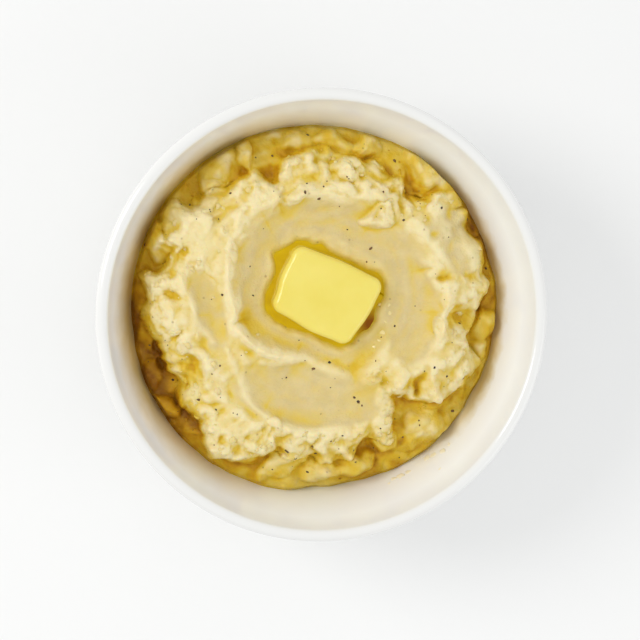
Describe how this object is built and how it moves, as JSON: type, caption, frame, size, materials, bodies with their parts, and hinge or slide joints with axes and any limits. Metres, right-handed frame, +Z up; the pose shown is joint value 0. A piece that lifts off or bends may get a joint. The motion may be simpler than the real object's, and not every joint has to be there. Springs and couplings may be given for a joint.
{
  "type": "mashed potato side",
  "caption": "Round deep side bowl filled with a spooned, torn mound of mashed potato, with a softening pat of butter in a small pool of melted butter on top.",
  "frame": {"origin": "centre of the foot ring's resting plane, under the middle of the bowl", "axes": "+Z up, out of the bowl's mouth; +X runs towards the right-hand corner of the butter pat, +Y is level and square to it"},
  "size_m": [0.165, 0.165, 0.062],
  "materials": {
    "bowl_glaze": "smooth white glaze, high gloss",
    "mashed_potato": "moist cream-yellow mash, soft sheen where a spoon smoothed it",
    "butter": "pale yellow butter, wet and softly rounded",
    "melted_butter": "clear golden liquid fat, wet gloss"
  },
  "bodies": {
    "root": {"bowl": "bowl_glaze", "mash": "mashed_potato", "butter_pat": "butter", "melted_butter": "melted_butter"}
  },
  "joints": []
}
